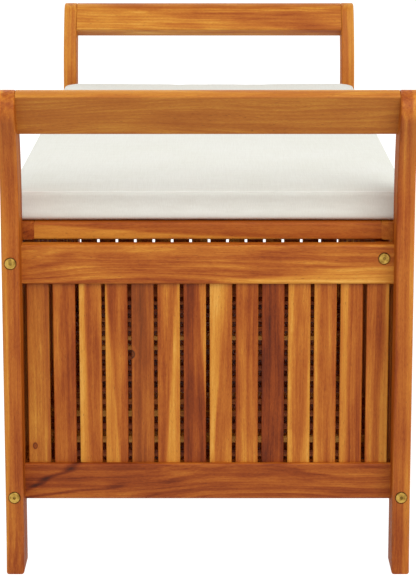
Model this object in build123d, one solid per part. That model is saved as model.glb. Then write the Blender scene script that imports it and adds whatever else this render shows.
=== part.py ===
from build123d import *
import os
from math import cos, radians, sin

# Slatted hardwood storage bench: a lidded box between two curved end frames, with a seat cushion.
# Millimetres. X runs along the bench, -Y is the front, +Y is the hinge side and Z is up.
# The origin is on the ground, at the middle of the bench.

# ---------------------------------------------------------------- driving dimensions
bench_width = 500.0            # outside of the legs, front to back
leg_span = 1150.0              # outside of the legs, end to end, below the curve
fit = 0.1                      # clearance round a tenon, tongue or shank
overshoot = 1.0                # how far a cutting shape runs past a face

leg_depth = 50.0               # along X
leg_width = 22.0               # along Y
leg_edge = 3.0
foot_flare = 5.0
foot_flare_height = 80.0
bend_start = 461.0             # height where the leg starts to lean outwards
bend_radius = 240.0            # of the leg's centre line
bend_angle = 30.0

rail_thickness = 20.0
rail_edge = 3.0
rail_groove = 8.2
box_top = 409.5                # top of the lengthwise rails, which the lid closes on
end_top_rail_z = (361.0, 410.3)
end_bottom_rail_z = (86.0, 132.0)
side_top_rail_z = (376.5, box_top)
side_bottom_rail_z = (74.5, 120.5)
hinge_rail_y = 216.0

arm_thickness = 27.7
arm_height = 57.7
arm_hand_radius = 22.0         # the edge over the seat, which follows the round tips of the legs
arm_edge = 2.5
arm_middle = (-9.85, -4.65)    # from the middle of the leg's round tip: across the lean, and along it
arm_tenon_drop = 6.0           # how much lower than the rail's top the arm tenons end

tenon_length = 7.0
tenon_thickness = 10.0
tenon_shoulder = 7.0

slat_thickness = 9.0
slat_gap = 4.5
slat_edge = 1.5
slat_tongue = 8.0
end_slat_count = 14
side_slat_count = 32
rear_slat_base = 90.0
rear_slat_top = 404.0

floor_top = 101.0
floor_slat_thickness = 12.0
floor_slat_width = 32.0
floor_slat_pitch = 61.5
floor_slat_count = 17
floor_slat_clearance = 0.5
ledge_width = 40.0
ledge_thickness = 18.0
ledge_length = 990.0

lid_length = 1044.0
lid_base = 412.3
lid_thickness = 21.0
lid_rail_width = 36.0
lid_slat_thickness = 18.0
lid_slat_count = 8
lid_slat_gap = 4.0
lid_tongue = 8.0
lid_tongue_thickness = 8.0
lid_tongue_shoulder = 3.0
lid_tenon_shoulder = 7.0
lid_edge = 2.5
lid_batten_width = 40.0
lid_batten_thickness = 14.0
lid_batten_x = (-300.0, 0.0, 300.0)
lid_batten_y = (-211.0, 203.0)
bumper_diameter = 12.0
bumper_height = 2.6
bumper_x = 480.0

cushion_length = 1028.0
cushion_width = 496.0
cushion_height = 40.0
cushion_lift = 0.5
cushion_radius = 6.0

hinge_x = (-340.0, 0.0, 340.0)
hinge_length = 64.0
hinge_axis_y = 238.0
hinge_leaf = 1.3
hinge_leaf_start = 209.0
hinge_leaf_end = 234.0
hinge_leaf_corner = 3.0
knuckle_diameter = 6.0
knuckle_count = 5
knuckle_gap = 0.4
pin_diameter = 3.0
pin_clearance = 0.05
pin_head_diameter = 4.6
pin_head_length = 1.0
hinge_notch_length = 69.0
hinge_notch_width = 8.0
hinge_notch_depth = 2.5
screw_diameter = 3.0
screw_head_diameter = 5.6
screw_head_height = 1.1
screw_length = 15.0            # depth of its pilot hole
screw_tip_gap = 1.0
screw_drive_diameter = 1.6
screw_drive_depth = 0.6
screw_y = (215.0, 224.0)
screw_pitch = 22.0

bolt_diameter = 6.0
bolt_hole = 6.6
bolt_grip = 30.0               # length of shank inside the rail
cap_diameter = 14.0
cap_height = 2.4
cap_edge = 0.8
cap_recess = 1.2               # depth of the counterbore that the cap sits in
recess_diameter = 15.6
socket_flats = 4.0
socket_depth = 1.6
top_bolt_z = 393.2
bottom_bolt_z = 97.5
nut_diameter = 10.0
nut_length = 12.0
nut_inset = 20.0
nut_depth = 1.0                # of the rear bottom nuts below the face that they were pushed in from
dowel_diameter = 6.0
dowel_length = 24.0
dowel_offsets_top = (10.2,)
dowel_offsets_bottom = (-14.0, 10.0)

# ---------------------------------------------------------------- derived places
half_width = bench_width / 2
leg_outer_x = leg_span / 2
leg_inner_x = leg_outer_x - leg_depth
leg_inner_y = half_width - leg_width
leg_mid_y = half_width - leg_width / 2
bend_centre_x = leg_inner_x + leg_depth / 2 + bend_radius
end_rail_x = leg_inner_x + rail_thickness / 2
lid_half = lid_length / 2
lid_top = lid_base + lid_thickness
lid_inner_y = half_width - lid_rail_width
lid_inner_x = lid_half - lid_rail_width
hinge_axis_z = (box_top + lid_base) / 2


# ---------------------------------------------------------------- small builders
def block(x, y, z):
    """Box between the (low, high) pairs x, y and z."""
    size = Box(x[1] - x[0], y[1] - y[0], z[1] - z[0])
    return Pos((x[0] + x[1]) / 2, (y[0] + y[1]) / 2, (z[0] + z[1]) / 2) * size


def board(x, y, z, along, edge=rail_edge):
    """Box with its four edges that run along one axis rounded."""
    box = block(x, y, z)
    return fillet(box.edges().filter_by(along), edge)


def around(middle, size):
    """Low and high ends of a size centred on a middle."""
    return (middle - size / 2, middle + size / 2)


def rod(axis_rotation, place, diameter, length):
    """Cylinder centred on a place, turned from Z by the given rotation."""
    return Pos(*place) * axis_rotation * Cylinder(diameter / 2, length)


along_x = Rot(0, 90, 0)
along_y = Rot(90, 0, 0)
upright = Rot(0, 0, 0)


def rod_x(x, y, z, diameter):
    """Cylinder along X between the (low, high) pair x."""
    return rod(along_x, ((x[0] + x[1]) / 2, y, z), diameter, x[1] - x[0])


def rod_y(x, y, z, diameter):
    """Cylinder along Y between the (low, high) pair y."""
    return rod(along_y, (x, (y[0] + y[1]) / 2, z), diameter, y[1] - y[0])


def rod_z(x, y, z, diameter):
    """Cylinder along Z between the (low, high) pair z."""
    return rod(upright, (x, y, (z[0] + z[1]) / 2), diameter, z[1] - z[0])


def flip_x(shape):
    return mirror(shape, about=Plane.YZ)


def flip_y(shape):
    return mirror(shape, about=Plane.XZ)


def spread(low, high, count, gap):
    """Low and high sides of equal slats that share a span, with a gap before, between and after."""
    width = (high - low - gap * (count + 1)) / count
    return [(low + gap + i * (width + gap), low + (i + 1) * (width + gap)) for i in range(count)]


# ---------------------------------------------------------------- bolted corner joints
# Each joint of the right end: (y, z, x of the face that the bolt's cap sits in, dowel offsets, span of
# the nut in y, face that the nut's bore opens on).
front_nut = around(-leg_mid_y, nut_length)
front_bore_face = -leg_mid_y + rail_thickness / 2
rear_bore_face = leg_mid_y + rail_thickness / 2
rear_nut = (rear_bore_face - nut_depth - nut_length, rear_bore_face - nut_depth)
hinge_nut = around(hinge_rail_y, nut_length)
hinge_bore_face = hinge_rail_y - rail_thickness / 2
corner_joints = [
    (-leg_mid_y, top_bolt_z, leg_outer_x, dowel_offsets_top, front_nut, front_bore_face),
    (-leg_mid_y, bottom_bolt_z, leg_outer_x, dowel_offsets_bottom, front_nut, front_bore_face),
    (leg_mid_y, bottom_bolt_z, leg_outer_x, dowel_offsets_bottom, rear_nut, rear_bore_face),
    (hinge_rail_y, top_bolt_z, leg_inner_x + rail_thickness, dowel_offsets_top, hinge_nut,
     hinge_bore_face),
]


def drill_joints(shape):
    """Cut every bolt, nut and dowel hole of both ends that meets this shape."""
    for y, z, outside, dowels, nut, face in corner_joints:
        nut_x = leg_inner_x - nut_inset
        bore = (min(face, nut[0] - fit), max(face, nut[1] + fit))
        holes = [rod_x((leg_inner_x - bolt_grip - overshoot, outside), y, z, bolt_hole)]
        holes += [rod_x((outside - cap_recess, outside + overshoot), y, z, recess_diameter)]
        holes += [rod_y(nut_x, bore, z, nut_diameter + fit)]
        dowel_span = around(leg_inner_x, dowel_length + 2 * fit)
        holes += [rod_x(dowel_span, y, z + offset, dowel_diameter + fit) for offset in dowels]
        for hole in holes:
            shape -= hole
            shape -= flip_x(hole)
    return shape


def make_bolts():
    """Flat-headed connector bolts with a hexagon socket."""
    bolts = []
    for y, z, outside, *_ in corner_joints:
        seat = outside - cap_recess
        cap = rod_x((seat, seat + cap_height), y, z, cap_diameter)
        rim = cap.edges().filter_by(GeomType.CIRCLE).sort_by(Axis.X)[-1]
        cap = chamfer(rim, cap_edge)
        socket = extrude(RegularPolygon(socket_flats / 2, 6, major_radius=False), socket_depth)
        cap -= Pos(seat + cap_height - socket_depth, y, z) * Rot(0, 90, 0) * socket
        shank = rod_x((leg_inner_x - bolt_grip, seat), y, z, bolt_diameter)
        bolt = cap + shank
        bolts += [bolt, flip_x(bolt)]
    return bolts


def make_barrel_nuts():
    """Cross nuts in the rail ends, each crossed by a bolt."""
    nuts = []
    for y, z, _, _, nut_span, _ in corner_joints:
        x = leg_inner_x - nut_inset
        nut = rod_y(x, nut_span, z, nut_diameter)
        nut -= rod_x((x - nut_diameter, x + nut_diameter), y, z, bolt_diameter + fit)
        nuts += [nut, flip_x(nut)]
    return nuts


def make_dowels():
    """Wooden dowels that stop each rail turning on its bolt."""
    dowels = []
    for y, z, _, offsets, _, _ in corner_joints:
        for offset in offsets:
            dowel = rod_x(around(leg_inner_x, dowel_length), y, z + offset, dowel_diameter)
            dowels += [dowel, flip_x(dowel)]
    return dowels


# ---------------------------------------------------------------- end frames
def on_bend(radius, angle):
    """Point of the leg's curve, in X and Z, at an angle up from where the curve starts."""
    return (bend_centre_x - radius * cos(radians(angle)), bend_start + radius * sin(radians(angle)))


def leg_outline():
    """Side view of a right-hand leg: flared foot, straight leg, outward curve and full-round tip."""
    outer = bend_radius - leg_depth / 2
    inner = bend_radius + leg_depth / 2
    tip_centre = on_bend(bend_radius, bend_angle)
    tip = (tip_centre[0] + leg_depth / 2 * sin(radians(bend_angle)),
           tip_centre[1] + leg_depth / 2 * cos(radians(bend_angle)))
    foot_x = leg_outer_x + foot_flare
    sole = Line((leg_inner_x, 0), (foot_x, 0))
    flare = ThreePointArc((foot_x, 0), (leg_outer_x + foot_flare / 4, foot_flare_height / 2),
                          (leg_outer_x, foot_flare_height))
    outside = Line((leg_outer_x, foot_flare_height), on_bend(outer, 0))
    outer_curve = ThreePointArc(on_bend(outer, 0), on_bend(outer, bend_angle / 2),
                                on_bend(outer, bend_angle))
    round_tip = ThreePointArc(on_bend(outer, bend_angle), tip, on_bend(inner, bend_angle))
    inner_curve = ThreePointArc(on_bend(inner, bend_angle), on_bend(inner, bend_angle / 2),
                                on_bend(inner, 0))
    inside = Line(on_bend(inner, 0), (leg_inner_x, 0))
    return make_face([sole, flare, outside, outer_curve, round_tip, inner_curve, inside])


def tenon_pair(x, z, y=leg_inner_y, grow=0.0):
    """Tenons at both ends of a cross rail, or the mortises for them when grown."""
    height = (z[0] + tenon_shoulder - grow, z[1] - tenon_shoulder + grow)
    thick = around(x, tenon_thickness + 2 * grow)
    reach = (y, y + tenon_length + 4 * grow)
    tenon = block(thick, reach, height)
    return tenon + flip_y(tenon)


def arm_place():
    """Where the arm rail's middle sits, and how it leans."""
    tip_x, tip_z = on_bend(bend_radius, bend_angle)
    across, along = arm_middle
    return Pos(tip_x, 0, tip_z) * Rot(0, bend_angle, 0) * Pos(across, 0, along)


def arm_tenons(grow=0.0):
    height = (-arm_height / 2, arm_height / 2 - arm_tenon_drop)
    return arm_place() * tenon_pair(0, height, grow=grow)


def make_leg():
    """Right-hand rear leg with its mortises; the others are mirrored from it."""
    leg = extrude(Plane.XZ * leg_outline(), leg_width / 2, both=True)
    sides = leg.faces().filter_by(Axis.Y)
    leg = fillet(sides.edges(), leg_edge)
    leg = Pos(0, leg_mid_y, 0) * leg
    leg -= tenon_pair(end_rail_x, end_top_rail_z, grow=fit)
    leg -= tenon_pair(end_rail_x, end_bottom_rail_z, grow=fit)
    leg -= arm_tenons(grow=fit)
    return leg


def make_arm_rail():
    """Leaning hand rail between the tips of two legs."""
    rail = block(around(0, arm_thickness), around(0, 2 * leg_inner_y), around(0, arm_height))
    seat_side_top = rail.edges().filter_by(Axis.Y).group_by(Axis.Z)[-1].sort_by(Axis.X)[0]
    rail = fillet(seat_side_top, arm_hand_radius)
    heights = rail.edges().filter_by(Axis.Y).group_by(Axis.Z)
    rail = fillet([heights[-1].sort_by(Axis.X)[-1], *heights[0]], arm_edge)
    return arm_place() * rail + arm_tenons()


def end_rail(z):
    """Cross rail of an end frame, without its groove."""
    rail = board(around(end_rail_x, rail_thickness), around(0, 2 * leg_inner_y), z, Axis.Y)
    return rail + tenon_pair(end_rail_x, z)


def end_groove(z):
    return block(around(end_rail_x, slat_thickness + 2 * fit), around(0, 2 * leg_inner_y), z)


def make_end_top_rail():
    low = end_top_rail_z[0]
    return drill_joints(end_rail(end_top_rail_z) - end_groove((low, low + rail_groove)))


def make_end_bottom_rail():
    high = end_bottom_rail_z[1]
    return end_rail(end_bottom_rail_z) - end_groove((high - rail_groove, high))


def make_end_slats():
    """Upright slats of an end frame, front to back, housed in the rails' grooves."""
    height = (end_bottom_rail_z[1] - slat_tongue, end_top_rail_z[0] + slat_tongue)
    thick = around(end_rail_x, slat_thickness)
    spans = spread(-leg_inner_y, leg_inner_y, end_slat_count, slat_gap)
    return [board(thick, span, height, Axis.Z, slat_edge) for span in spans]


# ---------------------------------------------------------------- front and rear panels
def long_rail(y, z):
    """Lengthwise rail between the end frames, drilled for its bolts and dowels."""
    rail = board((-leg_inner_x, leg_inner_x), around(y, rail_thickness), z, Axis.X)
    return drill_joints(rail)


def front_groove(z):
    return block((-leg_inner_x, leg_inner_x), around(-leg_mid_y, slat_thickness + 2 * fit), z)


def make_front_top_rail():
    low = side_top_rail_z[0]
    return long_rail(-leg_mid_y, side_top_rail_z) - front_groove((low, low + rail_groove))


def make_front_bottom_rail():
    high = side_bottom_rail_z[1]
    return long_rail(-leg_mid_y, side_bottom_rail_z) - front_groove((high - rail_groove, high))


def make_front_slats():
    height = (side_bottom_rail_z[1] - slat_tongue, side_top_rail_z[0] + slat_tongue)
    thick = around(-leg_mid_y, slat_thickness)
    spans = spread(-leg_inner_x, leg_inner_x, side_slat_count, slat_gap)
    return [board(span, thick, height, Axis.Z, slat_edge) for span in spans]


rear_slat_y = (hinge_rail_y + rail_thickness / 2, hinge_rail_y + rail_thickness / 2 + slat_thickness)


def make_rear_bottom_rail():
    """Rear bottom rail, rebated on its inside for the foot of the rear slats."""
    rail = long_rail(leg_mid_y, side_bottom_rail_z)
    rebate_y = (leg_mid_y - rail_thickness / 2 - overshoot, rear_slat_y[1] + fit)
    rebate_z = (rear_slat_base - fit, side_bottom_rail_z[1] + overshoot)
    return rail - block((-leg_span, leg_span), rebate_y, rebate_z)


def make_hinge_rail():
    """Inset top rail of the rear side, with pilot holes for the hinge screws."""
    rail = long_rail(hinge_rail_y, side_top_rail_z)
    for hole in hinge_screw_holes(box_top - screw_length, box_top + overshoot):
        rail -= hole
    return rail


def make_rear_slats():
    """Upright slats fixed to the outside of the hinge rail."""
    spans = spread(-leg_inner_x, leg_inner_x, side_slat_count, slat_gap)
    height = (rear_slat_base, rear_slat_top)
    return [board(span, rear_slat_y, height, Axis.Z, slat_edge) for span in spans]


# ---------------------------------------------------------------- floor of the box
floor_z = (floor_top - floor_slat_thickness, floor_top)
ledge_z = (floor_z[0] - ledge_thickness, floor_z[0])
ledge_face = leg_mid_y - rail_thickness / 2


def make_floor_slats():
    reach = (-ledge_face + floor_slat_clearance, rear_slat_y[0] - floor_slat_clearance)
    middle = (floor_slat_count - 1) / 2
    slats = []
    for i in range(floor_slat_count):
        x = (i - middle) * floor_slat_pitch
        slats.append(board(around(x, floor_slat_width), reach, floor_z, Axis.Y, slat_edge))
    return slats


def make_ledge(y):
    return board(around(0, ledge_length), y, ledge_z, Axis.X, slat_edge)


# ---------------------------------------------------------------- hinges
def at_hinges(shape):
    return [Pos(x, 0, 0) * shape for x in hinge_x]


def hinge_screw_places():
    """Screws of one leaf: two rows, staggered so that the leaf holds three and two."""
    near, far = screw_y
    return [(-screw_pitch, near), (0.0, near), (screw_pitch, near), (-screw_pitch / 2, far),
            (screw_pitch / 2, far)]


def hinge_screw_holes(low, high):
    holes = []
    for hinge in hinge_x:
        for x, y in hinge_screw_places():
            holes.append(rod_z(hinge + x, y, (low, high), screw_diameter + fit))
    return holes


def make_hinge_screws(seat, up):
    """Countersunk screws driven away from the gap between the leaves; up is +1 into the lid."""
    screws = []
    for hinge in hinge_x:
        for x, y in hinge_screw_places():
            head_face = seat - up * hinge_leaf
            head_end = head_face + up * screw_head_height
            tip = seat + up * (screw_length - screw_tip_gap)
            head = rod_z(hinge + x, y, sorted((head_face, head_end)), screw_head_diameter)
            shank = rod_z(hinge + x, y, sorted((head_face, tip)), screw_diameter)
            drive = (head_face, head_face + up * screw_drive_depth)
            recess = rod_z(hinge + x, y, sorted(drive), screw_drive_diameter)
            screws.append(head + shank - recess)
    return screws


def knuckle_spans(first):
    """Every second knuckle of the barrel, counted from the given one."""
    pitch = hinge_length / knuckle_count
    start = -hinge_length / 2
    return [(start + i * pitch + knuckle_gap / 2, start + (i + 1) * pitch - knuckle_gap / 2)
            for i in range(first, knuckle_count, 2)]


def make_leaf(z, first, countersink_low):
    """Hinge leaf with its own knuckles, bored for the pin and drilled for its screws."""
    leaf = block(around(0, hinge_length), (hinge_leaf_start, hinge_leaf_end), z)
    leaf = fillet(leaf.edges().filter_by(Axis.Z).group_by(Axis.Y)[0], hinge_leaf_corner)
    for span in knuckle_spans(first):
        leaf += block(span, (hinge_leaf_end - overshoot, hinge_axis_y), z)
        leaf += rod_x(span, hinge_axis_y, hinge_axis_z, knuckle_diameter)
    bore = pin_diameter + 2 * pin_clearance
    leaf -= rod_x(around(0, 2 * hinge_length), hinge_axis_y, hinge_axis_z, bore)
    for x, y in hinge_screw_places():
        leaf -= rod_z(x, y, (z[0] - overshoot, z[1] + overshoot), screw_diameter + 2 * fit)
        if countersink_low:
            sink = (z[0] - overshoot, z[0] + screw_head_height)
        else:
            sink = (z[1] - screw_head_height, z[1] + overshoot)
        leaf -= rod_z(x, y, sink, screw_head_diameter + 2 * fit)
    return leaf


def make_pin():
    """Hinge pin with a small head beyond each end of the barrel."""
    half = hinge_length / 2
    pin = rod_x((-half - pin_head_length, half + pin_head_length), hinge_axis_y, hinge_axis_z,
                pin_diameter)
    head = rod_x((half + fit, half + fit + pin_head_length), hinge_axis_y, hinge_axis_z,
                 pin_head_diameter)
    return pin + head + flip_x(head)


# ---------------------------------------------------------------- lid
lid_z = (lid_base, lid_top)
lid_slat_z = (lid_top - lid_slat_thickness, lid_top)
tongue_z = around(lid_base + lid_thickness / 2, lid_tongue_thickness)
lid_tenon_y = (lid_inner_y, lid_inner_y + tenon_length)


def lid_tenons(grow=0.0):
    """Tenons of both end rails into the rear rail of the lid, or their mortises."""
    width = around(lid_half - lid_rail_width / 2, lid_rail_width - 2 * (lid_tenon_shoulder - grow))
    height = (tongue_z[0] - grow, tongue_z[1] + grow)
    tenon = block(width, (lid_tenon_y[0], lid_tenon_y[1] + 4 * grow), height)
    return tenon + flip_x(tenon)


def make_lid_front_rail():
    rail = board((-lid_half, lid_half), (-half_width, -lid_inner_y), lid_z, Axis.X, lid_edge)
    return rail - flip_y(lid_tenons(grow=fit))


def make_lid_rear_rail():
    """Rear rail of the lid, notched round each hinge barrel and drilled for the screws."""
    rail = board((-lid_half, lid_half), (lid_inner_y, half_width), lid_z, Axis.X, lid_edge)
    rail -= lid_tenons(grow=fit)
    notch_z = (lid_base - overshoot, lid_base + hinge_notch_depth)
    notch = block(around(0, hinge_notch_length), around(hinge_axis_y, hinge_notch_width), notch_z)
    for place in at_hinges(notch):
        rail -= place
    for hole in hinge_screw_holes(lid_base - overshoot, lid_base + screw_length):
        rail -= hole
    return rail


def make_lid_end_rail():
    """Right-hand end rail of the lid, grooved for the slats' tongues."""
    width = (lid_half - lid_rail_width, lid_half)
    rail = board(width, around(0, 2 * lid_inner_y), lid_z, Axis.Y, lid_edge)
    tenon = lid_tenons() & block((0, leg_span), (0, bench_width), lid_z)
    rail += tenon + flip_y(tenon)
    groove = (lid_inner_x - overshoot, lid_inner_x + lid_tongue + fit)
    height = (tongue_z[0] - fit, tongue_z[1] + fit)
    return rail - block(groove, around(0, 2 * lid_inner_y), height)


def make_lid_slats():
    """Lengthwise slats flush with the top of the lid."""
    slats = []
    for span in spread(-lid_inner_y, lid_inner_y, lid_slat_count, lid_slat_gap):
        slat = board((-lid_inner_x, lid_inner_x), span, lid_slat_z, Axis.X, slat_edge)
        tongue_y = (span[0] + lid_tongue_shoulder, span[1] - lid_tongue_shoulder)
        slats.append(slat + block(around(0, 2 * (lid_inner_x + lid_tongue)), tongue_y, tongue_z))
    return slats


def make_lid_battens():
    """Cross battens under the lid slats, clear of the box's rails."""
    height = (lid_slat_z[0] - lid_batten_thickness, lid_slat_z[0])
    return [board(around(x, lid_batten_width), lid_batten_y, height, Axis.Y, slat_edge)
            for x in lid_batten_x]


def make_bumpers():
    """Rubber pads on the front rail, under the lid's front edge."""
    bumper = rod_z(bumper_x, -leg_mid_y, (box_top, box_top + bumper_height), bumper_diameter)
    return [bumper, flip_x(bumper)]


def make_cushion():
    """Seat cushion, a little clear of the lid."""
    low = lid_top + cushion_lift
    pad = block(around(0, cushion_length), around(0, cushion_width), (low, low + cushion_height))
    return fillet(pad.edges(), cushion_radius)


# ---------------------------------------------------------------- the bench
parts = {}

rear_right_leg = make_leg()
parts["rear_right_leg"] = drill_joints(rear_right_leg)
parts["front_right_leg"] = drill_joints(flip_y(rear_right_leg))
parts["rear_left_leg"] = flip_x(parts["rear_right_leg"])
parts["front_left_leg"] = flip_x(parts["front_right_leg"])

right_end = {
    "arm_rail": make_arm_rail(),
    "end_top_rail": make_end_top_rail(),
    "end_bottom_rail": make_end_bottom_rail(),
}
for name, piece in right_end.items():
    parts["right_" + name] = piece
    parts["left_" + name] = flip_x(piece)

end_slats = make_end_slats()
for number, slat in enumerate(end_slats, start=1):
    parts[f"right_end_slat_{number:02d}"] = slat
parts["left_end_slats"] = [flip_x(slat) for slat in end_slats]

parts["front_top_rail"] = make_front_top_rail()
parts["front_bottom_rail"] = make_front_bottom_rail()
parts["front_slats"] = make_front_slats()
parts["hinge_rail"] = make_hinge_rail()
parts["rear_bottom_rail"] = make_rear_bottom_rail()
parts["rear_slats"] = make_rear_slats()

parts["floor_slats"] = make_floor_slats()
parts["front_floor_ledge"] = make_ledge((-ledge_face, -ledge_face + ledge_width))
parts["rear_floor_ledge"] = make_ledge((ledge_face - ledge_width, ledge_face))
parts["floor_centre_batten"] = make_ledge(around(0, ledge_width))

parts["lid_front_rail"] = make_lid_front_rail()
parts["lid_rear_rail"] = make_lid_rear_rail()
parts["lid_right_end_rail"] = make_lid_end_rail()
parts["lid_left_end_rail"] = flip_x(parts["lid_right_end_rail"])
parts["lid_slats"] = make_lid_slats()
parts["lid_battens"] = make_lid_battens()
parts["lid_bumpers"] = make_bumpers()
parts["cushion"] = make_cushion()

box_leaf = make_leaf((box_top, box_top + hinge_leaf), 0, countersink_low=False)
lid_leaf = make_leaf((lid_base - hinge_leaf, lid_base), 1, countersink_low=True)
hinge_sides = ("left", "middle", "right")
for side, box_half, lid_half_leaf, pin in zip(hinge_sides, at_hinges(box_leaf), at_hinges(lid_leaf),
                                              at_hinges(make_pin())):
    parts[f"{side}_hinge_box_leaf"] = box_half
    parts[f"{side}_hinge_lid_leaf"] = lid_half_leaf
    parts[f"{side}_hinge_pin"] = pin
parts["hinge_box_screws"] = make_hinge_screws(box_top, -1)
parts["hinge_lid_screws"] = make_hinge_screws(lid_base, 1)

parts["frame_bolts"] = make_bolts()
parts["barrel_nuts"] = make_barrel_nuts()
parts["dowels"] = make_dowels()

os.makedirs("parts", exist_ok=True)
for name, piece in parts.items():
    shape = Compound(children=piece) if isinstance(piece, list) else piece
    export_step(shape, f"parts/{name}.step")
print(len(parts), "parts written")
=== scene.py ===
"""Looks of the slatted storage bench: wood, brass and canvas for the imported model, and its seat cushion."""
import math
import bmesh
import bpy
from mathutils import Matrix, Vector
from mathutils.bvhtree import BVHTree


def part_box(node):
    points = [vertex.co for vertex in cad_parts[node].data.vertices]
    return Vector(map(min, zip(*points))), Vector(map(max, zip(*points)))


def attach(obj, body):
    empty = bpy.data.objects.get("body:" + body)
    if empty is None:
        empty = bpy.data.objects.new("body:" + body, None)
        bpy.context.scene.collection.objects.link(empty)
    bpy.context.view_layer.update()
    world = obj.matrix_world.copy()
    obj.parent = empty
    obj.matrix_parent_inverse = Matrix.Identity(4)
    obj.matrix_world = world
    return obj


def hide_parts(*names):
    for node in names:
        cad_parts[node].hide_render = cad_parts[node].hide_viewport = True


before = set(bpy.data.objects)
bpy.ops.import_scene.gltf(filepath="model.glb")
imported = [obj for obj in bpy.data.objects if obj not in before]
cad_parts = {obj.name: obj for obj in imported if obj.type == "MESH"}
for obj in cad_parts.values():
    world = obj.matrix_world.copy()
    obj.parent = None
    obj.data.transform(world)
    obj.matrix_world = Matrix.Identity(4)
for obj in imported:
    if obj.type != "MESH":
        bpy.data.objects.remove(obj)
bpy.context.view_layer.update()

MM = 0.001
scene = bpy.context.scene


# ---------------------------------------------------------------- node-tree helpers
def linear(red, green, blue):
    """Linear colour from ordinary 0-255 sRGB numbers."""
    def channel(value):
        value /= 255
        return value / 12.92 if value <= 0.04045 else ((value + 0.055) / 1.055) ** 2.4
    return (channel(red), channel(green), channel(blue), 1.0)


class Material:
    """One material with a Principled surface, and short ways to add nodes to it."""

    def __init__(self, name):
        self.data = bpy.data.materials.new(name)
        self.data.use_nodes = True
        self.tree = self.data.node_tree
        self.surface = self.tree.nodes["Principled BSDF"]
        position = self.add("ShaderNodeTexCoord").outputs["Object"]
        self.position = self.vector("MULTIPLY", position, (1 / MM,) * 3)
        self.axis = dict(zip("xyz", self.split(self.position)))

    def add(self, kind, **settings):
        node = self.tree.nodes.new(kind)
        for name, value in settings.items():
            setattr(node, name, value)
        return node

    def feed(self, socket, value):
        """Link an output, or set a plain number or vector."""
        if isinstance(value, bpy.types.NodeSocket):
            self.tree.links.new(value, socket)
        else:
            socket.default_value = value

    def math(self, operation, *values, clamp=False):
        node = self.add("ShaderNodeMath", operation=operation, use_clamp=clamp)
        for socket, value in zip(node.inputs, values):
            self.feed(socket, value)
        return node.outputs[0]

    def vector(self, operation, *values):
        node = self.add("ShaderNodeVectorMath", operation=operation)
        for socket, value in zip(node.inputs, values):
            self.feed(socket, value)
        return node.outputs["Value" if operation in ("LENGTH", "DOT_PRODUCT") else "Vector"]

    def combine(self, x, y, z):
        node = self.add("ShaderNodeCombineXYZ")
        for socket, value in zip(node.inputs, (x, y, z)):
            self.feed(socket, value)
        return node.outputs[0]

    def split(self, vector):
        node = self.add("ShaderNodeSeparateXYZ")
        self.tree.links.new(vector, node.inputs[0])
        return node.outputs

    def noise(self, place, size, detail=2.0, roughness=0.5):
        """Noise whose features measure size (one number, or one for each axis) in millimetres."""
        sizes = size if isinstance(size, tuple) else (size,) * 3
        node = self.add("ShaderNodeTexNoise")
        node.inputs["Scale"].default_value = 1.0
        node.inputs["Detail"].default_value = detail
        node.inputs["Roughness"].default_value = roughness
        self.feed(node.inputs["Vector"], self.vector("MULTIPLY", place, tuple(1 / s for s in sizes)))
        return node.outputs["Fac"]

    def step(self, value, low, high):
        """0 below low, 1 above high, smooth between."""
        node = self.add("ShaderNodeMapRange", interpolation_type="SMOOTHSTEP")
        self.feed(node.inputs["Value"], value)
        node.inputs["From Min"].default_value = low
        node.inputs["From Max"].default_value = high
        return node.outputs["Result"]

    def ramp(self, value, stops):
        node = self.add("ShaderNodeValToRGB")
        elements = node.color_ramp.elements
        while len(elements) < len(stops):
            elements.new(0.5)
        for element, (place, colour) in zip(elements, stops):
            element.position = place
            element.color = colour
        self.feed(node.inputs[0], value)
        return node.outputs["Color"]

    def mix(self, factor, first, second, blend="MIX"):
        node = self.add("ShaderNodeMix", data_type="RGBA", blend_type=blend)
        self.feed(node.inputs["Factor"], factor)
        self.feed(node.inputs[6], first)
        self.feed(node.inputs[7], second)
        return node.outputs[2]

    def bump(self, height, depth, strength=1.0, under=None):
        """Bump from a 0-1 height that stands for a depth in metres."""
        node = self.add("ShaderNodeBump")
        node.inputs["Strength"].default_value = strength
        node.inputs["Distance"].default_value = depth
        self.feed(node.inputs["Height"], height)
        if under is not None:
            self.feed(node.inputs["Normal"], under)
        return node.outputs["Normal"]


# ---------------------------------------------------------------- wood
# Lengths in the materials are millimetres, and tones are places on this ramp.
ACACIA = (
    (0.00, linear(62, 22, 7)),
    (0.20, linear(112, 43, 6)),
    (0.36, linear(143, 63, 13)),
    (0.50, linear(167, 85, 22)),
    (0.66, linear(188, 109, 33)),
    (0.80, linear(208, 137, 46)),
    (1.00, linear(234, 176, 82)),
)
SAPWOOD_TONE = 0.84
PORE_COLOUR = linear(84, 36, 16)
OLIVE = linear(150, 112, 48)
WOOD_SPECULAR = 0.18
STRAIGHT, FLOWING = 0.35, 1.0       # how far the figure wanders across the grain
FIGURE_SWAY, FIGURE_WANDER = 44.0, 5.0
RING_WIDTH = 5.5
KNOT_STRETCH = 1.5                  # a knot is this much longer than wide
FLECKS, BANDS, LINES, FIBRES, CLOUDS = 0.24, 0.64, 0.26, 0.30, 0.58    # how much each moves the tone
PORES = 0.40
BOARD_SPREAD = 0.34                 # range of tone between the boards of one node
BOARD_SAPWOOD = 0.85                # strength of the sapwood on such boards
BOARD_APART_ALONG, BOARD_APART_THROUGH = 617.0, 83.0    # how far apart they lie in the pattern
LEG_BEND_X, LEG_BEND_Z, LEG_BEND_RADIUS = 790.0, 461.0, 240.0    # centre and radius of the legs' bend


def part_of(m, value, low, high):
    """0 at low to 1 at high."""
    return m.math("DIVIDE", m.math("SUBTRACT", value, low), high - low)


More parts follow.
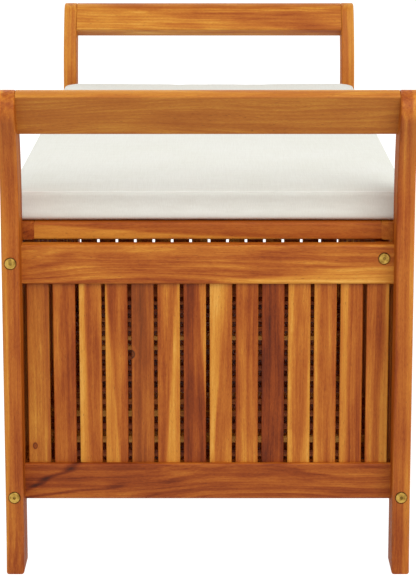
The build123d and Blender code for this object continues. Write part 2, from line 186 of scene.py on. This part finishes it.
def along_leg(m):
    """Through the depth of a leg and along it, following the outward bend at its top."""
    sideways = m.math("SUBTRACT", LEG_BEND_X, m.math("ABSOLUTE", m.axis["x"]))
    rise = m.math("MAXIMUM", m.math("SUBTRACT", m.axis["z"], LEG_BEND_Z), 0.0)
    radius = m.vector("LENGTH", m.combine(sideways, rise, 0.0))
    turn = m.math("ARCTAN2", rise, sideways)
    below = m.math("MINIMUM", m.axis["z"], LEG_BEND_Z)
    return radius, m.math("MULTIPLY_ADD", turn, LEG_BEND_RADIUS, below)


def pattern(m, place, wide, long, detail=2.0, roughness=0.5):
    """Noise about zero, with features of one size across the grain and another along it."""
    return m.math("SUBTRACT", m.noise(place, (wide, wide, long), detail, roughness), 0.5)


class Grain:
    """The patterns in one piece of wood, each about zero but for the pores, which are 0 to 1."""

    def __init__(self, m, across, through, along, seed, figure):
        shift = Vector((17.3, 41.9, 233.0)) * seed
        place = m.combine(m.math("ADD", across, shift.x), m.math("ADD", through, shift.y),
                          m.math("ADD", along, shift.z))
        self.sway = pattern(m, place, 70.0, 420.0, 1.0)
        self.wander = pattern(m, place, 16.0, 130.0, 1.0)
        # how far the figure is pushed across the grain
        self.bend = m.math("ADD", m.math("MULTIPLY", self.sway, FIGURE_SWAY * figure),
                           m.math("MULTIPLY", self.wander, FIGURE_WANDER * figure))
        flow = m.combine(m.math("ADD", m.math("ADD", across, self.bend), shift.x),
                         m.math("ADD", m.math("ADD", through, self.bend), shift.y),
                         m.math("ADD", along, shift.z))
        self.bands = pattern(m, flow, 8.5, 460.0)
        self.lines = pattern(m, flow, 2.2, 210.0)
        self.fibres = pattern(m, flow, 0.9, 26.0, 3.0, 0.6)
        self.clouds = pattern(m, place, 26.0, 85.0)
        self.flecks = pattern(m, place, 1.3, 5.0, 2.0, 0.7)
        self.pores = m.step(m.noise(flow, (0.7, 0.7, 7.0), 1.0), 0.66, 0.74)


def pick_board(m, across, run, seed, boards):
    """Which of a node's boards this is, the place in its width, its sapwood's edge, and its own tone."""
    start, pitch = boards
    place = m.math("DIVIDE", m.math("SUBTRACT", across, start), pitch)
    index = m.math("FLOOR", place)
    pick = m.add("ShaderNodeTexWhiteNoise", noise_dimensions="1D")
    m.feed(pick.inputs["W"], m.math("ADD", index, seed * 7.13))
    first, second, third = m.split(pick.outputs["Color"])
    flipped = m.math("GREATER_THAN", third, 0.5)
    width = m.math("ABSOLUTE", m.math("SUBTRACT", flipped, m.math("FRACT", place)))
    edge = m.math("MULTIPLY_ADD", first, 1.1, -0.45)
    edge = m.math("MULTIPLY_ADD", m.math("SUBTRACT", second, 0.5), m.math("SUBTRACT", run, 0.5), edge)
    return index, width, edge, m.math("SUBTRACT", pick.outputs["Value"], 0.5)


def sapwood_band(m, width, run, sap):
    """The place in a board's width, counted from its sapwood side, and where the sapwood ends there."""
    side, near_edge, far_edge, _ = sap
    edge = m.math("MULTIPLY_ADD", run, far_edge - near_edge, near_edge)
    if side == "high":
        width = m.math("SUBTRACT", 1.0, width)
        edge = m.math("SUBTRACT", 1.0, edge)
    return width, edge


def ring_radius(m, across, through, along, seed, bend):
    """Distance from a pith that lies beside the board and leans a little along it."""
    pith_across = 42.0 + 23.0 * math.sin(seed * 2.1)
    pith_through = 58.0 + 20.0 * math.cos(seed * 1.3)
    lean = m.math("MULTIPLY", along, 0.02 * math.sin(seed * 3.7 + 0.8))
    first = m.math("ADD", m.math("ADD", m.math("ADD", across, pith_across), bend), lean)
    second = m.math("ADD", m.math("ADD", through, pith_through), m.math("MULTIPLY", bend, 0.6))
    return m.vector("LENGTH", m.combine(first, second, 0.0))


def add_knot(m, value, radius, across, along, size):
    """Darken a small knot, with the rings pushed round it. across and along count from its middle."""
    offset = m.combine(across, m.math("DIVIDE", along, KNOT_STRETCH), 0.0)
    reach = m.math("DIVIDE", m.vector("LENGTH", offset), size)
    radius = m.math("MULTIPLY_ADD", m.step(reach, 2.6, 0.6), 2.5, radius)
    ring = m.math("MULTIPLY", m.step(reach, 1.2, 0.85), m.step(reach, 0.35, 0.75))
    value = m.math("SUBTRACT", value, m.math("MULTIPLY", ring, 0.46))
    value = m.math("SUBTRACT", value, m.math("MULTIPLY", m.step(reach, 0.7, 0.2), 0.36))
    return value, radius


def add_streak(m, value, width, run, wander, streak):
    """Darken a mineral line that slants across the board from its near end."""
    near_width, far_width, stop, thick = streak
    middle = m.math("MULTIPLY_ADD", run, (far_width - near_width) / stop, near_width)
    middle = m.math("MULTIPLY_ADD", wander, 0.35, middle)
    away = m.math("ABSOLUTE", m.math("SUBTRACT", width, middle))
    line = m.math("MULTIPLY", m.step(away, thick, 0.0), m.step(run, stop, stop * 0.8))
    return m.math("SUBTRACT", value, m.math("MULTIPLY", line, 0.26))


def wood(node, axes, seed, tone=0.55, sap=None, drift=0.0, figure=STRAIGHT, boards=None, knots=(),
         streaks=(), depth=1.0, bent=False, green=0.0):
    """Oiled acacia for one node. axes names its across, through and along-the-grain axes, as in "yxz".

    tone is its place on the ramp, drift how much lighter the far end is, depth how strong the grain is and
    green how much olive is mixed in. bent follows the bend of a leg. sap is a band of golden sapwood: its
    side, "low" or "high", its edge at the near end and at the far end, as parts of the width, and strength.
    On right_arm_rail the band covers the top face and is partly a painted highlight there.
    boards is (start, pitch) where one node holds many slats side by side; each of them gets its own tone
    and sapwood. knots are (across, along, radius), the first two as parts of the width and the length.
    streaks are dark mineral lines: (across at the near end, across at the far end, where they stop, width),
    all as parts.
    """
    m = Material(node)
    across, through, along = (m.axis[letter] for letter in axes)
    if bent:
        through, along = along_leg(m)
    low, high = inside(node, axes[0])
    near, far = inside(node, axes[2])
    run = part_of(m, along, near, far)
    value = m.math("MULTIPLY_ADD", m.math("SUBTRACT", run, 0.5), drift, tone)
    if boards:
        index, width, edge, own_tone = pick_board(m, across, run, seed, boards)
        value = m.math("MULTIPLY_ADD", own_tone, BOARD_SPREAD, value)
        along = m.math("MULTIPLY_ADD", index, BOARD_APART_ALONG, along)
        through = m.math("MULTIPLY_ADD", index, BOARD_APART_THROUGH, through)
    elif sap:
        width, edge = sapwood_band(m, part_of(m, across, low, high), run, sap)

    grain = Grain(m, across, through, along, seed, figure)
    value = m.math("MULTIPLY_ADD", grain.flecks, FLECKS, value)
    layers = (BANDS, grain.bands), (LINES, grain.lines), (FIBRES, grain.fibres), (CLOUDS, grain.clouds)
    for amount, layer in layers:
        value = m.math("MULTIPLY_ADD", layer, amount * depth, value)
    radius = ring_radius(m, across, through, along, seed, grain.bend)
    for knot_width, knot_run, size in knots:
        knot_across = m.math("SUBTRACT", across, low + knot_width * (high - low))
        knot_along = m.math("SUBTRACT", along, near + knot_run * (far - near))
        value, radius = add_knot(m, value, radius, knot_across, knot_along, size)
    for streak in streaks:
        value = add_streak(m, value, part_of(m, across, low, high), run, grain.wander, streak)
    phase = m.math("FRACT", m.math("DIVIDE", radius, RING_WIDTH))
    late_wood = m.math("MULTIPLY", m.step(phase, 1.0, 0.84), m.math("POWER", phase, 2.0))
    strength = m.math("MULTIPLY_ADD", grain.clouds, 0.30 * depth, (0.10 + 0.06 * figure) * depth ** 2)
    value = m.math("SUBTRACT", value, m.math("MULTIPLY", late_wood, strength))
    if sap or boards:
        sap_strength = sap[3] if sap else BOARD_SAPWOOD
        edge = m.math("MULTIPLY_ADD", grain.bands, 0.18, edge)
        edge = m.math("MULTIPLY_ADD", grain.sway, 0.55, edge)
        golden = m.step(m.math("SUBTRACT", edge, width), -0.09, 0.09)
        pale = m.math("MULTIPLY_ADD", m.math("SUBTRACT", value, tone), 0.60, SAPWOOD_TONE)
        lift = m.math("SUBTRACT", pale, value)
        value = m.math("MULTIPLY_ADD", m.math("MULTIPLY", golden, sap_strength), lift, value)

    colour = m.mix(m.math("MULTIPLY", grain.pores, PORES), m.ramp(value, ACACIA), PORE_COLOUR)
    if green:
        colour = m.mix(green, colour, OLIVE)
    m.feed(m.surface.inputs["Base Color"], colour)
    m.feed(m.surface.inputs["Roughness"], m.math("MULTIPLY_ADD", grain.fibres, 0.25, 0.50))
    facing = m.add("ShaderNodeLayerWeight").outputs["Facing"]      # 0 face on, 1 edge on
    sheen = m.math("MULTIPLY_ADD", m.math("POWER", facing, 2.0), -WOOD_SPECULAR, WOOD_SPECULAR)
    m.feed(m.surface.inputs["Specular IOR Level"], sheen)
    relief = m.math("SUBTRACT", m.math("MULTIPLY_ADD", grain.fibres, 0.8, late_wood), grain.pores)
    m.feed(m.surface.inputs["Normal"], m.bump(relief, 0.10 * MM, 0.4))
    return m.data


def paint(node, material):
    """Give a CAD node one material."""
    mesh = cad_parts[node].data
    mesh.materials.clear()
    mesh.materials.append(material)


def inside(node, axis):
    """Low and high ends of a node along one axis, in millimetres."""
    low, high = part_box(node)
    place = "xyz".index(axis)
    return low[place] / MM, high[place] / MM


# the right end's slats, front to back: tone, sapwood, drift to the top, knots, olive
END_SLATS = (
    (0.61, None, -0.16, ((0.30, 0.12, 2.9),), 0.10),
    (0.45, ("low", -0.25, 0.42, 0.30), 0.04, (), 0.0),
    (0.57, ("low", 0.55, 0.22, 0.85), 0.06, (), 0.0),
    (0.50, ("low", 0.66, 0.02, 0.90), 0.04, (), 0.0),
    (0.45, None, 0.00, ((0.02, 0.60, 3.6),), 0.08),
    (0.50, ("high", 0.36, 0.86, 0.85), 0.00, (), 0.0),
    (0.36, ("high", 1.25, 0.72, 0.60), 0.04, (), 0.0),
    (0.65, ("low", -0.10, 0.95, 0.75), 0.10, (), 0.0),
    (0.58, None, -0.02, (), 0.0),
    (0.27, None, 0.00, (), 0.0),
    (0.73, ("high", 0.55, 1.10, 0.70), 0.02, (), 0.0),
    (0.64, ("low", 0.22, 0.26, 0.60), 0.00, (), 0.0),
    (0.47, ("low", 0.24, 0.22, 0.80), 0.02, (), 0.0),
    (0.52, ("high", 0.72, 0.84, 0.85), 0.00, (), 0.0),
)

# tone and sapwood
LEGS = {
    "front_right_leg": (0.51, ("low", 0.20, 0.26, 0.55)),
    "rear_right_leg": (0.49, ("high", 0.70, 0.62, 0.55)),
    "front_left_leg": (0.64, ("low", 0.40, 0.30, 0.60)),
    "rear_left_leg": (0.64, ("high", 0.50, 0.65, 0.60)),
}
# axes, tone, sapwood, figure, depth of the grain
RAILS = {
    # right_arm_rail: the golden band along the top tenth of its height is sapwood laid on the top face, and
    # partly a painted highlight there
    "right_arm_rail": ("zxy", 0.68, ("high", 0.90, 0.90, 0.60), FLOWING, 0.65),
    "left_arm_rail": ("zxy", 0.66, ("low", 1.10, -0.10, 0.60), FLOWING, 0.9),
    "right_end_top_rail": ("zxy", 0.60, ("low", -0.40, 0.50, 0.85), FLOWING, 1.1),
    "left_end_top_rail": ("zxy", 0.58, None, FLOWING, 1.0),
    "right_end_bottom_rail": ("zxy", 0.48, None, FLOWING, 1.0),
    "left_end_bottom_rail": ("zxy", 0.50, None, FLOWING, 1.0),
    "front_top_rail": ("zyx", 0.58, ("low", 0.35, -0.20, 0.85), FLOWING, 1.0),
    "front_bottom_rail": ("zyx", 0.50, None, FLOWING, 1.0),
    "hinge_rail": ("zyx", 0.54, None, FLOWING, 1.0),
    "rear_bottom_rail": ("zyx", 0.52, ("high", 0.9, 0.6, 0.85), FLOWING, 1.0),
    "front_floor_ledge": ("yzx", 0.42, None, STRAIGHT, 1.0),
    "rear_floor_ledge": ("yzx", 0.46, None, STRAIGHT, 1.0),
    "floor_centre_batten": ("yzx", 0.44, None, STRAIGHT, 1.0),
    "lid_front_rail": ("yzx", 0.48, None, FLOWING, 0.9),
    "lid_rear_rail": ("yzx", 0.66, None, FLOWING, 0.7),
    "lid_right_end_rail": ("zxy", 0.51, ("low", 0.95, -0.35, 0.70), FLOWING, 0.6),
    "lid_left_end_rail": ("xzy", 0.58, None, FLOWING, 1.0),
}
RAIL_EXTRAS = {
    "right_arm_rail": {"green": 0.15},
    "right_end_bottom_rail": {"streaks": ((0.25, 1.25, 0.22, 0.12), (0.05, 0.35, 0.30, 0.08))},
}
# nodes of many slats: axes, tone, how many, gap
SLAT_GROUPS = {
    "front_slats": ("xyz", 0.54, 32, 4.5),
    "rear_slats": ("xyz", 0.54, 32, 4.5),
    "left_end_slats": ("yxz", 0.54, 14, 4.5),
    "floor_slats": ("xzy", 0.46, 17, 29.5),
    "lid_slats": ("yzx", 0.55, 8, 4.0),
    "lid_battens": ("xzy", 0.48, 3, 260.0),
}
LEG_SEED, RAIL_SEED, GROUP_SEED, DOWEL_SEED = 21.3, 31.7, 51.0, 57.0


def paint_wood():
    for number, (tone, sap, drift, knots, green) in enumerate(END_SLATS, start=1):
        node = f"right_end_slat_{number:02d}"
        paint(node, wood(node, "yxz", number, tone, sap, drift, knots=knots, green=green))
    for seed, (node, (tone, sap)) in enumerate(LEGS.items()):
        leg = wood(node, "yxz", LEG_SEED + seed, tone, sap, drift=0.10, figure=0.15, depth=0.85, bent=True)
        paint(node, leg)
    for seed, (node, (axes, tone, sap, figure, depth)) in enumerate(RAILS.items()):
        extras = RAIL_EXTRAS.get(node, {})
        paint(node, wood(node, axes, RAIL_SEED + seed, tone, sap, figure=figure, depth=depth, **extras))
    for seed, (node, (axes, tone, count, gap)) in enumerate(SLAT_GROUPS.items()):
        low, high = inside(node, axes[0])
        boards = (low - gap / 2, (high - low + gap) / count)
        paint(node, wood(node, axes, GROUP_SEED + seed, tone, boards=boards))
    paint("dowels", wood("dowels", "yzx", DOWEL_SEED, 0.80, depth=0.5))


# ---------------------------------------------------------------- metal and rubber
# colour of the painted shade in the bolt caps' rims and sockets
CAP_SHADE_COLOUR = linear(70, 48, 20)
LEG_MIDDLE, HINGE_RAIL_MIDDLE = 239.0, 216.0    # distances from the bench's middle, front to back
CAP_LOW, CAP_HIGH = 97.5, 393.2
CAP_PLACES = (                                  # y and z; the top rear cap is on the end of the hinge rail
    (-LEG_MIDDLE, CAP_LOW),
    (LEG_MIDDLE, CAP_LOW),
    (-LEG_MIDDLE, CAP_HIGH),
    (HINGE_RAIL_MIDDLE, CAP_HIGH),
)
CAP_RIM = (6.2, 7.1)                            # radii where the rim's painted shade begins and is full
CAP_SOCKET = (2.3, 1.6)                         # the same for the socket
FAR_OFF = 1000.0


def cap_painted_shade(m):
    """Painted shade: 1 in the dark rim of each bolt cap, and less in its socket."""
    reach = FAR_OFF
    for y, z in CAP_PLACES:
        away = m.combine(0.0, m.math("SUBTRACT", m.axis["y"], y), m.math("SUBTRACT", m.axis["z"], z))
        reach = m.math("MINIMUM", reach, m.vector("LENGTH", away))
    return m.math("MAXIMUM", m.step(reach, *CAP_RIM), m.math("MULTIPLY", m.step(reach, *CAP_SOCKET), 0.45))


def metal(name, colour, dull, roughness, painted_shade=None):
    """Plated metal, dulled in patches, with fine wear, and darkened where the last argument paints shade."""
    m = Material(name)
    patches = m.noise(m.position, 5.0, 4.0, 0.6)
    specks = m.noise(m.position, 0.5, 2.0)
    finish = m.mix(m.step(patches, 0.35, 0.7), colour, dull)
    # the bolt caps' dark rim and socket: painted shade mixed into the finish
    if painted_shade:
        finish = m.mix(painted_shade(m), finish, CAP_SHADE_COLOUR)
    m.feed(m.surface.inputs["Base Color"], finish)
    rough = m.math("MULTIPLY_ADD", patches, 0.25, roughness - 0.12)
    m.feed(m.surface.inputs["Roughness"], rough)
    m.surface.inputs["Metallic"].default_value = 1.0
    m.feed(m.surface.inputs["Normal"], m.bump(specks, 0.05 * MM, 0.4))
    return m.data


def rubber(name):
    """Matt black rubber with a fine grain."""
    m = Material(name)
    grain = m.noise(m.position, 0.8, 3.0)
    colour = m.ramp(grain, ((0.3, linear(26, 25, 24)), (0.8, linear(44, 42, 40))))
    m.feed(m.surface.inputs["Base Color"], colour)
    m.surface.inputs["Roughness"].default_value = 0.8
    m.feed(m.surface.inputs["Normal"], m.bump(grain, 0.1 * MM, 0.5))
    return m.data


def paint_hardware():
    bolt_brass = metal("bolt_brass", linear(196, 160, 78), linear(140, 106, 46), 0.42, cap_painted_shade)
    paint("frame_bolts", bolt_brass)
    hinge_brass = metal("hinge_brass", linear(206, 172, 96), linear(168, 132, 66), 0.34)
    for side in ("left", "middle", "right"):
        for piece in ("box_leaf", "lid_leaf", "pin"):
            paint(f"{side}_hinge_{piece}", hinge_brass)
    paint("hinge_box_screws", hinge_brass)
    paint("hinge_lid_screws", hinge_brass)
    paint("barrel_nuts", metal("zinc_steel", linear(190, 190, 186), linear(140, 140, 138), 0.4))
    paint("lid_bumpers", rubber("bumper_rubber"))


# ---------------------------------------------------------------- cushion
CUSHION_VOXEL = 6 * MM
CUSHION_PRESSURE = 4.0
CUSHION_FRAMES = 20
CUSHION_SWELL = 4 * MM         # the most that a point may move while the pad fills
CUSHION_HELD = 15 * MM         # this far in from a sewn edge, the panels swell freely
CUSHION_SHRINK = 0.5 * MM      # how much smaller the pad starts, on every side
CUSHION_EDGE = 3.5 * MM
SEAM_RADIUS = 0.9 * MM
SEAM_SUNK = 0.4 * MM           # how deep the cord's middle lies in the pad
SEAM_CORNER = 9 * MM           # radius of the cord's path round the pad's corners
SEAM_STEP = 4 * MM
SEAM_STAND_OFF = 20 * MM       # how far outside the pad the search for its edge starts
SEAM_SIDES = 8
CORD_MATERIAL = 1              # place of the cord's material on the pad
THREAD_PITCH = 0.9             # of the canvas, in millimetres
CORD_PITCH = 2.4


def canvas(name):
    """Off-white plain-woven outdoor canvas."""
    m = Material(name)
    turn = 2 * math.pi / THREAD_PITCH
    across = m.math("SINE", m.math("MULTIPLY", m.axis["y"], turn))
    down = m.math("SINE", m.math("MULTIPLY", m.math("ADD", m.axis["x"], m.axis["z"]), turn))
    weave = m.math("MULTIPLY_ADD", m.math("MULTIPLY", across, down), 0.5, 0.5)
    slub = m.noise(m.position, (30.0, 1.2, 6.0), 2.0)
    slub_across = m.noise(m.position, (1.2, 30.0, 6.0), 2.0)
    slubs = m.math("ADD", slub, slub_across)
    soft = m.noise(m.position, 90.0, 2.0)
    colour = m.ramp(soft, ((0.3, linear(229, 230, 220)), (0.7, linear(232, 233, 225))))
    shade = m.math("MULTIPLY_ADD", m.math("SUBTRACT", slubs, 1.0), 0.30, 0.10)
    colour = m.mix(m.math("ADD", shade, 0.0, clamp=True), colour, linear(184, 176, 162))
    hollows = m.math("MULTIPLY", m.math("SUBTRACT", 1.0, weave), 0.10)
    m.feed(m.surface.inputs["Base Color"], m.mix(hollows, colour, linear(160, 150, 134)))
    m.surface.inputs["Roughness"].default_value = 0.9
    m.surface.inputs["Specular IOR Level"].default_value = 0.15
    m.surface.inputs["Sheen Weight"].default_value = 0.15
    m.surface.inputs["Sheen Roughness"].default_value = 0.5
    threads = m.bump(weave, 0.15 * MM, 0.35)
    m.feed(m.surface.inputs["Normal"], m.bump(slubs, 0.4 * MM, 0.3, threads))
    return m.data


def rounded_slab(name, low, high, radius):
    """Closed box mesh with all its edges rounded."""
    mesh = bpy.data.meshes.new(name)
    slab = bmesh.new()
    bmesh.ops.create_cube(slab, size=1.0)
    for vertex in slab.verts:
        vertex.co = Vector([high[i] if vertex.co[i] > 0 else low[i] for i in range(3)])
    bmesh.ops.bevel(slab, geom=slab.edges[:], offset=radius, segments=4, profile=0.5, affect="EDGES")
    slab.to_mesh(mesh)
    slab.free()
    piece = bpy.data.objects.new(name, mesh)
    scene.collection.objects.link(piece)
    return piece


def apply_modifiers(piece):
    """Apply all of an object's modifiers to its mesh, in order."""
    bpy.context.view_layer.objects.active = piece
    for modifier in piece.modifiers[:]:
        with bpy.context.temp_override(object=piece, active_object=piece):
            bpy.ops.object.modifier_apply(modifier=modifier.name)


def remesh(piece, voxel):
    modifier = piece.modifiers.new("remesh", "REMESH")
    modifier.mode = "VOXEL"
    modifier.voxel_size = voxel
    modifier.use_smooth_shade = True
    apply_modifiers(piece)


def fill_with_cloth(piece):
    """Swell a closed pad under pressure, with no gravity. Its sewn edges stay, and a cap holds the rest."""
    before = [vertex.co.copy() for vertex in piece.data.vertices]
    modifier = piece.modifiers.new("cloth", "CLOTH")
    settings = modifier.settings
    settings.quality = 5
    settings.mass = 0.3
    settings.tension_stiffness = 22
    settings.compression_stiffness = 22
    settings.shear_stiffness = 12
    settings.bending_stiffness = 2.0
    settings.use_pressure = True
    settings.uniform_pressure_force = CUSHION_PRESSURE
    settings.effector_weights.gravity = 0.0
    modifier.collision_settings.use_collision = False
    modifier.point_cache.frame_start = 1
    modifier.point_cache.frame_end = CUSHION_FRAMES
    for frame_number in range(1, CUSHION_FRAMES + 1):
        scene.frame_set(frame_number)
    shape = piece.evaluated_get(bpy.context.evaluated_depsgraph_get()).data
    after = [vertex.co.copy() for vertex in shape.vertices]
    piece.modifiers.remove(modifier)
    scene.frame_set(1)
    low, high = (Vector([pick(point[i] for point in before) for i in range(3)]) for pick in (min, max))
    for vertex, old, new in zip(piece.data.vertices, before, after):
        move = new - old
        if move.length > CUSHION_SWELL:
            move *= CUSHION_SWELL / move.length
        # on the pad's surface, the second smallest distance to a face is that to the nearest edge
        from_edge = sorted(min(old[i] - low[i], high[i] - old[i]) for i in range(3))[1]
        vertex.co = old + move * min(1.0, from_edge / CUSHION_HELD)


def smooth_surface(piece, levels):
    modifier = piece.modifiers.new("subdivision", "SUBSURF")
    modifier.levels = levels
    modifier.render_levels = levels
    apply_modifiers(piece)
    piece.data.polygons.foreach_set("use_smooth", [True] * len(piece.data.polygons))


def rounded_outline(low, high, corner):
    """Points round a box seen from above, with the way outwards at each, where its corners are rounded."""
    outline = []
    for x_side, y_side, start in ((1, 1, 0), (-1, 1, 90), (-1, -1, 180), (1, -1, 270)):
        centre = Vector((high.x if x_side > 0 else low.x, high.y if y_side > 0 else low.y))
        centre -= Vector((x_side, y_side)) * corner
        for angle in range(start, start + 91, 10):
            outward = Vector((math.cos(math.radians(angle)), math.sin(math.radians(angle))))
            outline.append((centre + outward * corner, outward))
    return outline


def top_edge(pad, low, high):
    """Points all round a pad, on its top edge."""
    surface = BVHTree.FromPolygons([vertex.co for vertex in pad.data.vertices],
                                   [polygon.vertices for polygon in pad.data.polygons])
    outline = rounded_outline(low, high, SEAM_CORNER)
    points = []
    for (here, outward), (there, next_outward) in zip(outline, outline[1:] + outline[:1]):
        count = max(1, round((there - here).length / SEAM_STEP))
        for number in range(count):
            place = here.lerp(there, number / count)
            out = outward.lerp(next_outward, number / count).normalized()
            out = Vector((out.x, out.y, 1.0)).normalized()
            start = Vector((place.x, place.y, high.z)) + out * SEAM_STAND_OFF
            hit = surface.ray_cast(start, -out)[0]
            if hit is not None:
                points.append(hit - out * SEAM_SUNK)
    for _ in range(4):
        points = [(points[i - 1] + points[i] * 2 + points[(i + 1) % len(points)]) / 4
                  for i in range(len(points))]
    return points


def add_tube(mesh, points, radius, material_index):
    """Join a closed round tube that follows a loop of points to a mesh."""
    work = bmesh.new()
    work.from_mesh(mesh)
    rings = []
    for i, point in enumerate(points):
        along = (points[(i + 1) % len(points)] - points[i - 1]).normalized()
        first = along.cross(Vector((0, 0, 1))).normalized()
        second = along.cross(first)
        ring = []
        for side in range(SEAM_SIDES):
            angle = 2 * math.pi * side / SEAM_SIDES
            out = first * math.cos(angle) + second * math.sin(angle)
            ring.append(work.verts.new(point + out * radius))
        rings.append(ring)
    for ring, next_ring in zip(rings, rings[1:] + rings[:1]):
        for side in range(SEAM_SIDES):
            face = work.faces.new((ring[side - 1], ring[side], next_ring[side], next_ring[side - 1]))
            face.smooth = True
            face.material_index = material_index
    work.to_mesh(mesh)
    work.free()


def piping(name):
    """Canvas cord sewn into the pad's top edge, with slanting thread marks."""
    m = Material(name)
    run = m.math("ADD", m.math("ADD", m.axis["x"], m.axis["y"]), m.axis["z"])
    marks = m.math("SINE", m.math("MULTIPLY", run, 2 * math.pi / CORD_PITCH))
    uneven = m.noise(m.position, 14.0, 2.0)
    colour = m.ramp(uneven, ((0.3, linear(234, 234, 226)), (0.7, linear(240, 240, 233))))
    shade = m.math("MULTIPLY", m.step(marks, 0.6, 1.0), 0.10)
    m.feed(m.surface.inputs["Base Color"], m.mix(shade, colour, linear(186, 178, 162)))
    m.surface.inputs["Roughness"].default_value = 0.85
    m.surface.inputs["Specular IOR Level"].default_value = 0.15
    m.feed(m.surface.inputs["Normal"], m.bump(marks, 0.15 * MM, 0.4))
    return m.data


def make_cushion():
    """The seat pad: a rounded slab that is remeshed, filled and corded, and rides on the cushion's body."""
    low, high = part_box("cushion")
    inset = Vector((CUSHION_SHRINK,) * 3)
    pad = rounded_slab("seat_cushion", low + inset, high - inset, CUSHION_EDGE)
    remesh(pad, CUSHION_VOXEL)
    fill_with_cloth(pad)
    smooth_surface(pad, 1)
    for vertex in pad.data.vertices:
        vertex.co.z = max(vertex.co.z, low.z)
    pad.data.materials.append(canvas("cushion_canvas"))
    pad.data.materials.append(piping("cushion_piping"))
    add_tube(pad.data, top_edge(pad, low, high), SEAM_RADIUS, CORD_MATERIAL)
    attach(pad, "cushion")
    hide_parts("cushion")


# ---------------------------------------------------------------- studio
FLOOR_REACH = 40.0
FLOOR_GLOW = 1.0
WORLD_LIGHT = 0.70
LIGHT_SIZE = 2.0
# place, height that it is aimed at over the origin, watts
LIGHTS = {
    "key": ((2.4, 0.7, 2.4), 0.35, 50.0),
    "back": ((-2.6, -0.6, 2.0), 0.35, 20.0),
    "front_fill": ((0.0, -2.8, 0.9), 0.3, 13.0),
    "rear_fill": ((0.0, 2.8, 0.9), 0.3, 11.0),
}
# The camera looks along -X and down. It has only part of the photograph's vertical shift, and pitch in place
# of the rest, so that the bench stays in view from every other side too.
CAMERA_PLACE = (3.0476, 0.0051, 0.9274)
CAMERA_PITCH = 10.563           # degrees
CAMERA_LENS = 128.84
CAMERA_SENSOR = 36.0
CAMERA_SHIFT = (-0.0068, -0.15)


def make_floor():
    """Wide pale studio floor that glows like a light table, so brightly that no shadow shows on it."""
    mesh = bpy.data.meshes.new("studio_floor")
    corners = [(x * FLOOR_REACH, y * FLOOR_REACH, 0) for x, y in ((-1, -1), (1, -1), (1, 1), (-1, 1))]
    mesh.from_pydata(corners, [], [(0, 1, 2, 3)])
    floor = bpy.data.objects.new("studio_floor", mesh)
    scene.collection.objects.link(floor)
    m = Material("studio_floor")
    soft = m.noise(m.position, 900.0, 2.0)
    colour = m.ramp(soft, ((0.3, (0.20, 0.20, 0.20, 1.0)), (0.7, (0.22, 0.22, 0.22, 1.0))))
    m.feed(m.surface.inputs["Base Color"], colour)
    m.surface.inputs["Roughness"].default_value = 0.9
    m.surface.inputs["Specular IOR Level"].default_value = 0.0
    m.surface.inputs["Emission Color"].default_value = (1.0, 1.0, 1.0, 1.0)
    m.surface.inputs["Emission Strength"].default_value = FLOOR_GLOW
    mesh.materials.append(m.data)
    floor.visible_diffuse = False


def area_light(name, place, aim_height, power):
    """Square softbox aimed at a point over the origin."""
    data = bpy.data.lights.new(name, "AREA")
    data.shape = "SQUARE"
    data.size = LIGHT_SIZE
    data.energy = power
    light = bpy.data.objects.new(name, data)
    light.location = place
    aim = Vector((0.0, 0.0, aim_height)) - Vector(place)
    light.rotation_euler = aim.to_track_quat("-Z", "Y").to_euler()
    scene.collection.objects.link(light)


def make_lights():
    world = bpy.data.worlds.new("studio")
    world.use_nodes = True
    background = world.node_tree.nodes["Background"]
    background.inputs["Color"].default_value = (1.0, 1.0, 1.0, 1.0)
    background.inputs["Strength"].default_value = WORLD_LIGHT
    scene.world = world
    for name, (place, aim_height, power) in LIGHTS.items():
        area_light(name, place, aim_height, power)


def make_camera():
    data = bpy.data.cameras.new("camera")
    data.sensor_width = CAMERA_SENSOR
    data.lens = CAMERA_LENS
    data.shift_x, data.shift_y = CAMERA_SHIFT
    data.clip_start = 0.1
    data.clip_end = 200.0
    camera = bpy.data.objects.new("camera", data)
    camera.location = CAMERA_PLACE
    camera.rotation_euler = (math.radians(90 - CAMERA_PITCH), 0, math.radians(90))
    scene.collection.objects.link(camera)
    scene.camera = camera


paint_wood()
paint_hardware()
make_cushion()
make_floor()
make_lights()
make_camera()
scene.view_settings.view_transform = "Standard"
